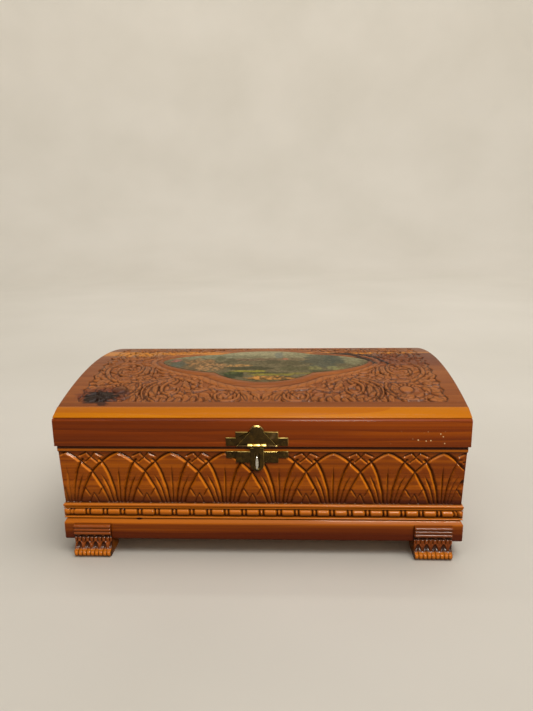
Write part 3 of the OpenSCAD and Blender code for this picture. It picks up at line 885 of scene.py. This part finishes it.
def scrollwork(x, y, p, q):
    """Height of the carved leaves, stems and flower, and their mask of painted shade."""
    art = Relief(p, q)
    art.height += 0.3 * (cloud(x / 2.4, y / 2.4, 31, 3) - 0.5)
    leaflets(art)
    rng = np.random.default_rng(23)
    for p0 in np.arange(38, 97, 5.6):
        lean, short = rng.uniform(-4, 4), rng.uniform(0, 5)
        points = [(p0 + lean, 71 + short), (p0, 76 + short / 2), (p0 + 1.5, 82.5)]
        art.petal(points, rng.uniform(2.0, 3.0), rng.uniform(-0.3, 0.05))
    for *points, width in LEAVES:
        art.petal(np.reshape(points, (3, 2)), width)
    for points, start, end in STEMS:
        art.stem(points, start, end)
    art.flower(*FLOWER, 10.5, 16)
    return art.height, art.groove


def framed(p, q, height, groove):
    """Lays the smooth frame around the picture, and the rope outside it, over the scrollwork."""
    borders = [along(p, q, outline_points(shape)) for shape in (PICTURE, BAND, ROPE)]
    d_pic, d_band, d_rope = (border[0] for border in borders)
    in_pic, in_band, in_rope = (q < outline(p, shape) for shape in (PICTURE, BAND, ROPE))
    t = d_pic / (d_pic + d_band + 1e-6)
    band = -0.6 + 0.75 * smooth(0.0, 0.4, t) - 1.15 * smooth(0.5, 1.0, t)
    # painted shade along the band's outer edge
    band_groove = 0.5 * smooth(0.75, 1.0, t) * ~in_pic
    t = d_band / (d_band + d_rope + 1e-6)
    twist = 0.7 + 0.3 * np.abs(np.sin(math.pi * (borders[1][1] / ROPE_PITCH + t * 0.9)))
    rope = -0.9 + dome(2 * t - 1) * twist
    # painted shade along the rope's edges and in the troughs of its twist
    rope_groove = np.maximum(smooth(0.82, 1.0, np.abs(2 * t - 1)), 0.4 * smooth(0.1, 0.0, twist - 0.7))
    height = np.where(in_band, band, np.where(in_rope, rope, height))
    groove = np.where(in_band, band_groove, np.where(in_rope, rope_groove, groove))
    return np.where(in_pic, -PICTURE_SINK - 0.4, height), groove, in_band


def lid_relief(x, y):
    """Height of the lid's carving over the smooth arch, and its masks of painted shade and painted highlight.
    """
    p, q = np.abs(x), np.abs(y - PICTURE_MID_Y)
    p = p + 0.5 * (value_noise(x / 7, y / 7, 21) - 0.5)
    q = q + 0.5 * (value_noise(x / 7, y / 7, 22) - 0.5)
    height, groove, in_band = framed(p, q, *scrollwork(x, y, p, q))

    # the carving stops at a scalloped line at the sides and a straight one front and back
    to_side = CARVE_HALF_X - 2.2 * np.abs(np.sin(math.pi * (q + 1) / SCALLOP_PITCH)) ** 1.5 - np.abs(x)
    room = np.minimum(to_side, CARVE_HALF_Y - q)
    zone = smooth(0.0, 1.0, room)
    # painted shade: a dark line along the scalloped edge of the carving
    groove = groove * zone + 0.9 * ridge(room - 0.9, 0.9) * (to_side < 4)
    height = np.clip(height, GROUND - 0.9, 0.35) * zone
    # painted highlight on the raised carving, little on the band
    worn = 0.5 * smooth(-0.8, 0.1, height) * (zone > 0) * np.where(in_band, 0.15, 1.0)
    end = unit(np.abs(x) - PANEL_HIGH[0] + 1.0)
    return height - 0.8 * (1 - np.sqrt(1 - 0.999 * end ** 2)), unit(groove), worn


def arch_z(y):
    """Height of the lid's smooth arch."""
    return CREST_Z - ARCH_R + np.sqrt(ARCH_R ** 2 - y ** 2)


def carved_lid():
    half_w, half_d = PANEL_HIGH[0], PANEL_HIGH[1]
    edge = half_w - np.array([0, 0.1, 0.3, 0.6, 1.0])
    columns = np.concatenate([-edge, np.arange(-half_w + 1.7, half_w - 1.6, LID_STEP), edge[::-1]])
    rows = np.concatenate([np.arange(-half_d, 12, 0.76), np.arange(12, half_d - 0.5, 1.3), [half_d]])
    x, y = np.meshgrid(columns, rows, indexing="ij")
    relief, groove, worn = lid_relief(x, y)
    z = closed(arch_z(y) + relief, PANEL_LOW[2], PANEL_LOW[2])
    obj = loft("carved_lid_panel", columns[:, None], closed(y, half_d, -half_d), z, 60, flip=True,
               groove=groove, worn=worn, heart=heart_lines(x, y))
    return raw_beyond(obj, len(rows), z.shape)


# ---------------- picture

def blend(base, colour, amount):
    return base + (np.array(colour) - base) * unit(amount)[..., None]


PICTURE_LIGHT = 0.5       # darkens the paint to suit the lamps
PRINT_T = 0.35

# patches of the landscape, far ones first: middle x and y over the picture's middle, half width,
# half height, display colour, strength, and how mottled they are
PATCHES = [
    (-6, 40, 34, 15, (152, 144, 112), 0.8, 0.0), (34, 26, 16, 12, (128, 122, 92), 0.7, 0.2),
    (-48, 19, 24, 8, (120, 118, 94), 0.8, 0.1), (-14, 19, 18, 6, (108, 104, 78), 0.6, 0.2),
    (11, 28, 4, 15, (112, 114, 104), 0.6, 0.0), (-4, 7, 30, 5, (110, 86, 66), 0.7, 0.5),
    (28, 8, 15, 6, (116, 100, 74), 0.7, 0.4), (-39, 12, 4, 14, (84, 82, 58), 0.8, 0.3),
    (-29, 4, 5, 8, (78, 76, 54), 0.7, 0.5), (5, 0, 9, 6, (74, 70, 50), 0.75, 0.4),
    (24, -4, 11, 8, (80, 74, 52), 0.75, 0.4), (48, 4, 14, 26, (82, 82, 68), 0.85, 0.2),
    (60, 8, 8, 18, (68, 72, 62), 0.75, 0.3), (75, 3, 8, 14, (126, 122, 92), 0.7, 0.2),
    (-54, -8, 17, 19, (94, 78, 56), 0.8, 0.0), (-56, -4, 14, 14, (150, 110, 70), 0.7, 0.85),
    (-44, -14, 12, 13, (158, 118, 78), 0.7, 0.85), (-72, -8, 6, 9, (84, 88, 76), 0.8, 0.2),
    (-76, 4, 4, 5, (158, 94, 82), 0.8, 0.2), (-21, -12, 9, 4, (164, 122, 72), 0.8, 0.5),
    (-10, -20, 20, 5, (62, 60, 42), 0.85, 0.2), (26, -20, 14, 7, (82, 78, 54), 0.85, 0.4),
    (42, -20, 6, 6, (116, 110, 70), 0.8, 0.4), (58, -20, 7, 5, (120, 114, 74), 0.8, 0.4),
    (44, -27, 12, 3, (70, 70, 50), 0.7, 0.2), (-13, -27, 17, 2.6, (128, 118, 48), 0.9, 0.1),
    (4, -31, 18, 1.6, (64, 64, 42), 0.8, 0.0), (8, -35, 20, 2.4, (120, 110, 48), 0.9, 0.2),
    (30, -32, 12, 1.6, (112, 102, 50), 0.8, 0.1), (-24, -35, 10, 8, (54, 58, 40), 0.95, 0.0),
    (-26, -32, 6, 4, (82, 88, 52), 0.7, 0.6), (8, -43, 24, 5, (72, 62, 42), 0.9, 0.0),
    (4, -42, 18, 4, (172, 120, 60), 0.9, 0.8), (17, 9, 2.2, 2.6, (168, 108, 82), 0.8, 0.0),
]


def landscape(x, y):
    """A plain autumn valley, far side up: sky, hills, trees, a meadow and flowers, in linear colours."""
    up = y - PICTURE_MID_Y
    edge = cloud(x / 5, up / 4, 41, 3)
    speck = cloud(x / 1.9, up / 2.1, 53, 3)
    paint = np.ones(x.shape + (3,)) * linear(100, 90, 66)
    paint = blend(paint, linear(138, 130, 100), smooth(4, 34, up + 12 * edge))
    for px, py, wide, tall, colour, strength, mottle in PATCHES:
        reach = np.hypot((x - px) / wide, (up - py) / tall) + 1.3 * (edge - 0.5)
        dabs = 1 - mottle + mottle * smooth(0.40, 0.60, speck)
        paint = blend(paint, linear(*colour), strength * smooth(1.2, 0.75, reach) * dabs)
    brush = 0.38 + 0.44 * cloud(x / 0.9, up / 2.6, 77, 2) + 0.76 * speck
    return paint * PICTURE_LIGHT * brush[..., None]


def picture():
    """The print, a thin skin that follows the arch inside the frame's outline."""
    columns = (PICTURE[1] - 0.4) * np.sin(np.linspace(-math.pi / 2, math.pi / 2, 241))
    reach = outline(columns, PICTURE) - 0.15
    y = PICTURE_MID_Y + reach[:, None] * np.linspace(-1, 1, 141)
    edges = y[:, [-1, 0]]
    z = np.hstack([arch_z(y), arch_z(edges) - PRINT_T]) - PICTURE_SINK
    y = np.hstack([y, edges])
    x = np.repeat(columns[:, None], y.shape[1], 1)
    obj = loft("landscape_print", x, y, z, 50, flip=True)
    paint = closed(landscape(x, y).reshape(-1, 3), 1.0)
    layer = obj.data.color_attributes.new("paint", "FLOAT_COLOR", "POINT")
    layer.data.foreach_set("color", paint.astype(np.float32).ravel())
    return obj


# ---------------- feet

FOOT_LOW, FOOT_HIGH = node_box("foot_front_left")
FOOT_W = FOOT_HIGH[0] - FOOT_LOW[0]
FOOT_H = FOOT_HIGH[2] - FOOT_LOW[2]
FLANGE_T = 4.0
REED_R = 1.3              # the three reeds under the foot's top edge
COVE_OUT, COVE_R = 10.2, 8.2
ROLL_OUT, ROLL_Z, ROLL_R, ROLL_TOP = 4.5, 2.9, 2.4, 4.9    # the toe, and where it meets the cove
FLUTE_PITCH = FOOT_W / 9
LANCET_PITCH = FOOT_W / 4.5


def arc(out, z, r, start, end, steps):
    """Points on a circle about (out, z), between two angles in degrees."""
    a = np.radians(np.linspace(start, end, steps))
    return np.stack([out + r * np.cos(a), z + r * np.sin(a)], 1)


def foot_front():
    """The foot's front outline from its top edge down to the floor: (out from the plinth, height)."""
    tops = [FOOT_H - REED_R - 2 * i * REED_R for i in range(3)]
    reeds = [arc(FLANGE_T - REED_R, z, REED_R, 80, -80, 9) for z in tops]
    cove_end = 180 - math.degrees(math.asin((ROLL_TOP - FLOOR_TO_BODY) / COVE_R))
    line = np.vstack([[(0.3, FOOT_H)], *reeds, arc(COVE_OUT, FLOOR_TO_BODY, COVE_R, 147, cove_end, 24),
                      arc(ROLL_OUT, ROLL_Z, ROLL_R, 38, -80, 14)])
    run = np.concatenate([[0], np.cumsum(np.hypot(*np.diff(line, axis=0).T))])
    s = np.linspace(0, run[-1], 120)
    return np.stack([np.interp(s, run, line[:, 0]), np.interp(s, run, line[:, 1])], 1)


def foot_carving(x, z):
    """How far the foot's face stands out or in at x across it and z up it, and its mask of painted shade in
    the hollows.
    """
    flute = np.abs(np.sin(math.pi * (x / FLUTE_PITCH + 0.5)))
    toe = smooth(8.4, 4.2, z)
    cell = (x / LANCET_PITCH + 0.25) % 1.0 - 0.5
    leg = 0.5 * np.cos(math.pi / 2 * unit((z - 4.0) / 7.4) ** 1.3)
    in_leg = (leg - np.abs(cell)) * LANCET_PITCH
    rim = ridge(in_leg, 0.95) * between(z, 3.0, 5.0, 11.0, 12.2)
    hollow = smooth(0.0, 1.0, in_leg) * between(z, 4.0, 7.0, 10.5, 12.0)
    upper = between(z, 9.0, 11.3, 13.4, 15.0)
    small = (np.abs(np.sin(math.pi * (x / FLUTE_PITCH))) - 0.5) * 0.9 * upper
    scallop = 15.2 + 1.0 * np.abs(np.cos(math.pi * (x / LANCET_PITCH + 0.25)))
    under = between(z, 13.1, 13.9, scallop - 0.3, scallop + 0.3)
    out = (flute ** 0.7 - 0.55) * toe + 0.8 * rim - 0.55 * hollow + small - under
    reed = (FOOT_H - z) / (2 * REED_R)
    gap = smooth(0.28, 0.12, np.abs(reed - np.round(reed))) * (reed > 0.5) * (reed < 3.5)
    # painted shade: between the toe's flutes, in the leaf hollows, under the scallops, between the reeds and
    # in the small flutes
    dark = np.maximum.reduce([toe * smooth(0.4, 0.1, flute), 0.9 * hollow * (1 - rim), under, 0.5 * gap,
                              upper * smooth(0.0, -0.4, small)])
    return out, unit(dark)


def carved_foot(name):
    """A foot with its face towards -Y, the plinth's face at y = 0 and the floor at z = 0."""
    front = foot_front()
    normal = normals(front)
    columns = np.linspace(-FOOT_W / 2, FOOT_W / 2, 109)
    back = FOOT_HIGH[1] - FOOT_LOW[1] - ROLL_OUT - ROLL_R
    x, z = np.meshgrid(columns, front[:, 1], indexing="ij")
    out, dark = foot_carving(x, z)
    inset = 0.35 * smooth(0.6, 0.0, FOOT_W / 2 - np.abs(x))
    y = front[:, 0] + out * normal[:, 0] * 0.9 - inset
    z = np.clip(front[:, 1] + out * normal[:, 1] * 0.5, 0.02, None)
    z[:, -1] = 0.0
    y = closed(y, -back, -back, 0, 0)
    z = closed(z, 0, FLOOR_TO_BODY, FLOOR_TO_BODY, FOOT_H)
    # the toe, below 5.5 mm, takes a painted highlight
    return loft(name, columns[:, None], -y, z, 55, flip=True, groove=dark, worn=0.6 * (z < 5.5))


# ---------------- clasp hook

def steel_hook():
    """The catch's hook: a round bar that comes out of the plate, bends down and swells to a blunt tip."""
    low, high = node_box("catch_hook")
    half = (high[0] - low[0]) / 2
    path = through([(high[1], high[2] - 0.7), (low[1] + 1.6, high[2] - 0.6), (low[1] + 0.7, high[2] - 1.6),
                    (low[1] + 0.55, (low[2] + high[2]) / 2), (low[1] + 0.6, low[2])])
    normal = normals(path)
    run = np.linspace(0, 1, len(path))
    wide = half * (0.5 + 0.5 * smooth(0.35, 0.75, run)) * np.sqrt(unit((1.02 - run) / 0.14))
    turn = np.linspace(0, 2 * math.pi, 16, endpoint=False)
    x = (low[0] + high[0]) / 2 + wide[:, None] * np.cos(turn)
    thick = np.minimum(0.55, wide)[:, None] * np.sin(turn)
    y = path[:, :1] + normal[:, :1] * thick
    z = path[:, 1:] + normal[:, 1:] * thick
    return loft("steel_hook", x, y, z, 60)


# ---------------- build

red = cedar("cedar_rail", RED, seed=1.3, rings=60, pith=(0.05, -0.16), contrast=0.5, streak=0.5, line=0.6,
            figure=rail_figure)
red_end = cedar("cedar_rail_end", RED, grain="Y", seed=2.1, rings=60, contrast=0.4)
front_wood = cedar("cedar_front", ORANGE, seed=3.7, rings=90, contrast=0.4, pith=(0.02, -0.075), streak=0.38,
                   line=1.2, worn=ORANGE_HIGHLIGHT, figure=front_figure)
end_wood = cedar("cedar_end", ORANGE, grain="Y", seed=4.9, rings=90, contrast=0.45, streak=0.5, line=1.1,
                 worn=ORANGE_HIGHLIGHT)
back_wood = cedar("cedar_back", ORANGE, seed=6.1, rings=30, pith=(0.03, -0.05))
raw_wood = cedar("cedar_raw", RAW, seed=7.3, coat=0.0, rough=0.62, rings=26)
raw_end = cedar("cedar_raw_end", RAW, grain="Y", seed=8.3, coat=0.0, rough=0.62)
foot_wood = cedar("cedar_foot", FOOT, seed=9.1, worn=ORANGE_HIGHLIGHT, coat=0.22)
top_wood = cedar("cedar_top", TOP, seed=5.5, rings=24, pith=(0.01, -0.09), contrast=0.4, streak=0.2, line=0.5,
                 coat=0.18, coat_rough=0.2, rough=0.5, worn=TOP_HIGHLIGHT, figure=lid_figure)
sap_wood = cedar("sapwood", SAP, seed=2.9, rings=20, contrast=0.5, streak=0.2, coat=0.08)
old_brass = metal("aged_brass", (260, 260, 260), 4.0, (0.25, 0.8, 0.52, 0.34), (0.3, 0.05), [
    (0.3, (34, 24, 5)), (0.55, (54, 39, 11)), (0.8, (84, 64, 22))], metallic=0.85, pits=1400.0)
# a lighter brass: the clasp pin is made of it, and clasp and hinge edges that face the lamps take it as a
# painted highlight
bright_and_lit_brass = metal("bright_brass", (500, 500, 500), 3.0, (0.3, 0.7, 0.3, 0.44), (0.15, 0.03), [
    (0.3, (176, 144, 66)), (0.7, (236, 208, 128))])
steel = metal("hook_steel", (200, 200, 2400), 3.0, (0.2, 0.8, 0.16, 0.3), (0.1, 0.03), [
    (0.3, (150, 146, 136)), (0.7, (214, 212, 202))])


def build_body():
    front = moulded_board("carved_front_board", BODY_W, ARCADE_START, BEAD_START)
    put(front, 0, 0, BODY_LOW[1], FLOOR_TO_BODY)
    dress(front, "body", [front_wood, raw_wood], "body_front")
    for name, side in (("left", -1), ("right", 1)):
        end = moulded_board(f"carved_{name}_end", BODY_D, 4.0 * side, 2.0)
        put(end, 90 * side, side * BODY_W / 2, 0, FLOOR_TO_BODY)
        dress(end, "body", [end_wood, raw_end], f"body_{name}_end")
    rounded("body_back", 0.5, "body", "cedar_back", back_wood, raw_wood, inside=(1, -1))
    rounded("bottom_panel", 0.15, "body", "bottom_board", raw_wood)
    rounded("bottom_brads", 0.12, "body", "hook_steel", steel)
    for depth, turn, sign in (("front", 0, -1), ("back", 180, 1)):
        for width in ("left", "right"):
            node = f"foot_{depth}_{width}"
            low, high = node_box(node)
            foot = put(carved_foot("carved_" + node), turn, (low[0] + high[0]) / 2, sign * BODY_D / 2, 0)
            dress(foot, "body", [foot_wood], node)


def build_lid():
    for side, inward in (("front", 1), ("back", -1)):
        rounded(f"lid_{side}_rail", 0.35, "lid", "cedar_rail", red, raw_wood, inside=(1, inward))
        rounded(f"lid_{side}_strip", 0.25, "lid", "sapwood_strip", sap_wood)
    for side, inward in (("left", 1), ("right", -1)):
        rounded(f"lid_{side}_rail", 0.6, "lid", "cedar_rail", red_end, raw_end, inside=(0, inward))
    dress(carved_lid(), "lid", [top_wood, raw_wood], "lid_panel")
    dress(picture(), "lid", [painted_print()], "picture_print")
    rounded("mirror", 0.4, "lid", "mirror_glass", mirror_glass())
    for side, wood in (("front", raw_wood), ("back", raw_wood), ("left", raw_end), ("right", raw_end)):
        rounded(f"mirror_strip_{side}", 0.8, "lid", "inner_strip", wood, segments=3)


def build_hardware():
    low, high = node_box("clasp_pin")
    x, y, z = (low + high) / 2
    # the barrel's top, along the pin, takes a painted highlight
    barrel = (y, z, 1.6, x, 7.0)
    for node, body, width in (("clasp_lid_plate", "lid", 0.34), ("catch_plate", "body", 0.2),
                              ("hasp_flap", "hasp", 0.34)):
        rounded(node, width, body, "clasp_brass", old_brass, bright_and_lit_brass, worn=True, bright=barrel,
                back=node_box(node)[1][1], clamp=False)
    rounded("clasp_pin", 0.12, "lid", "bright_brass", bright_and_lit_brass)
    dress(steel_hook(), "body", [steel], "catch_hook")
    for body in ("lid", "body"):
        rounded(f"clasp_nails_{body}", 0.3, body, "bright_brass", old_brass, segments=3)
    for side in ("left", "right"):
        for part, body in (("lid_leaf", "lid"), ("body_leaf", "body"), ("pin", "body")):
            rounded(f"hinge_{side}_{part}", 0.15, body, "hinge_brass", old_brass, bright_and_lit_brass, worn=True)
    for body in ("lid", "body"):
        rounded(f"hinge_nails_{body}", 0.35, body, "hinge_brass", old_brass, bright_and_lit_brass, segments=3, worn=True)


# ---------------- stage, light and camera

def pale_bowl():
    """A pale floor that curves up far from the box, so that every side view has a plain ground."""
    flat, curve, top, turns = 1.7, 0.9, 2.6, 96
    profile = np.vstack([[(flat / 2, 0)], arc(flat, curve, curve, -90, 0, 16), [(flat + curve, top)]]) / MM
    r, z = profile[:, :1], profile[:, 1:]
    a = 2 * math.pi * np.arange(turns) / turns
    verts = np.stack([r * np.cos(a), r * np.sin(a), z + 0 * a], -1).reshape(-1, 3)
    obj = make_object("pale_bowl", verts, ring_faces(len(profile), turns)[:-1], 60)
    obj.data.materials.append(pale_floor())
    return obj


def area_light(name, place, target, size, power, colour, skip=None):
    """A rectangular lamp aimed at a target; it leaves out the object to skip, if there is one."""
    data = bpy.data.lights.new(name, "AREA")
    data.shape = "RECTANGLE"
    data.size, data.size_y = size
    data.energy = power
    data.color = colour
    obj = new_object(name, data)
    obj.location = place
    obj.rotation_euler = (Vector(target) - Vector(place)).to_track_quat("-Z", "Y").to_euler()
    if skip:
        group = bpy.data.collections.new(name + "_skips")
        group.objects.link(skip)
        group.collection_objects[0].light_linking.link_state = "EXCLUDE"
        obj.light_linking.receiver_collection = group


def set_stage():
    """A pale bowl under two soft lamps, and two more lamps that light the box alone."""
    bowl = pale_bowl()
    world = bpy.data.worlds.new("soft_sky")
    bpy.context.scene.world = world
    world.use_nodes = True
    sky = world.node_tree.nodes["Background"].inputs
    sky["Color"].default_value = (0.9, 0.93, 0.98, 1.0)
    sky["Strength"].default_value = 0.2
    area_light("window_right", (0.35, -1.3, 1.15), (0, 0, 0.06), (0.5, 0.5), 47, (1.0, 0.94, 0.84), bowl)
    area_light("sky_strip", (-0.1, -0.75, 1.3), (0, 0, 0.06), (2.2, 0.3), 15, (1.0, 0.95, 0.88), bowl)
    area_light("soft_top", (0.5, -0.3, 2.4), (0, 0, 0), (2.0, 2.0), 42, (1.0, 0.98, 0.95))
    area_light("back_wall", (0.0, 0.9, 2.2), (0, 2.6, 0.9), (2.4, 0.6), 20, (1.0, 0.98, 0.95))
    bpy.context.scene.view_settings.view_transform = "Standard"


def set_camera():
    """The photograph's view: a little right of the middle, above the box, looking down at it."""
    pitch, roll, yaw = (math.radians(a) for a in (13.72, -0.75, 2.40))
    data = bpy.data.cameras.new("camera")
    data.sensor_width = 36.0
    data.lens = 31.3924
    data.clip_start = 0.01
    obj = new_object("camera", data)
    look = (Matrix.Rotation(yaw, 4, "Z") @ Matrix.Rotation(math.pi / 2 - pitch, 4, "X")
            @ Matrix.Rotation(roll, 4, "Z"))
    obj.matrix_world = Matrix.Translation((0.0225, -0.5095, 0.2493)) @ look
    bpy.context.scene.camera = obj


set_camera()
set_stage()
build_body()
build_lid()
build_hardware()
